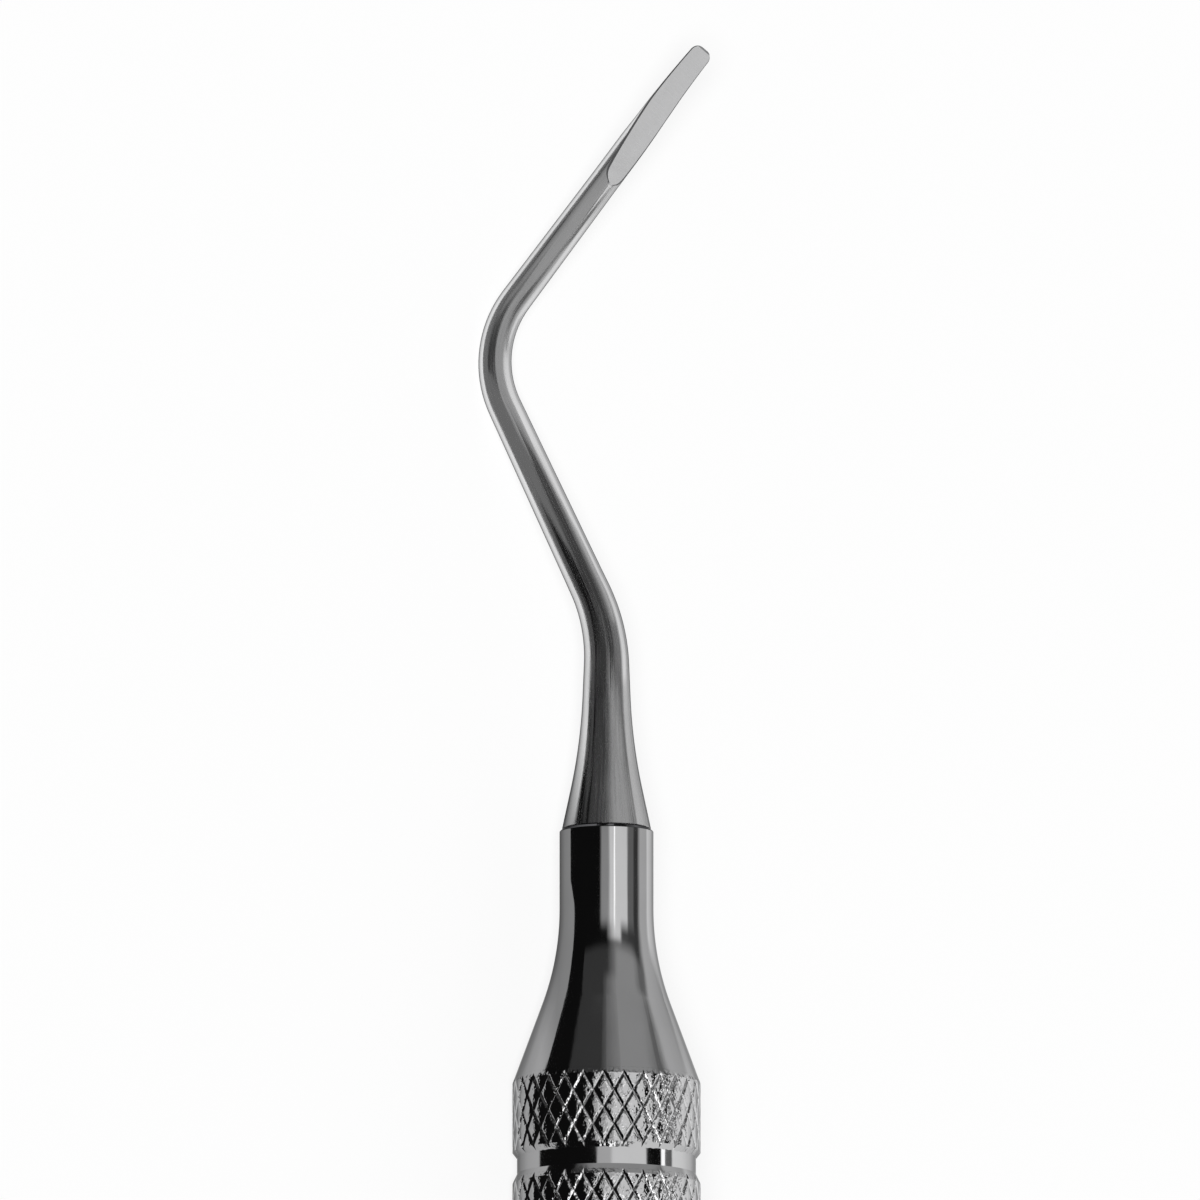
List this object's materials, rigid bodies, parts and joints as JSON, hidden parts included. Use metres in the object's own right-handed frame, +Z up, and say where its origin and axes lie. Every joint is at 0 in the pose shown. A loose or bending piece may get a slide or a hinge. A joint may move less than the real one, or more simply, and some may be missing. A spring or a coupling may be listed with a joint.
{
  "type": "root tip elevator",
  "caption": "Slim steel dental elevator: diamond-knurled hollow handle, concave flare to a nose, and a twice-bent tapering shank ending in a hollow-ground blade.",
  "frame": {"origin": "on the surface that the instrument lies on, under the middle of its length and of the handle's width", "axes": "+Y along the handle's axis towards the blade, +Z up; the bent end leans towards -X and rests there on its second bend"},
  "size_m": [0.0096, 0.16, 0.0095],
  "materials": {
    "handle": "polished stainless steel, diamond knurl on the grip",
    "working_end": "fine ground and polished stainless steel, satin on the blade's face",
    "end_plug": "polished stainless steel"
  },
  "bodies": {
    "root": {"handle": "handle", "working_end": "working_end", "end_plug": "end_plug"}
  },
  "joints": []
}
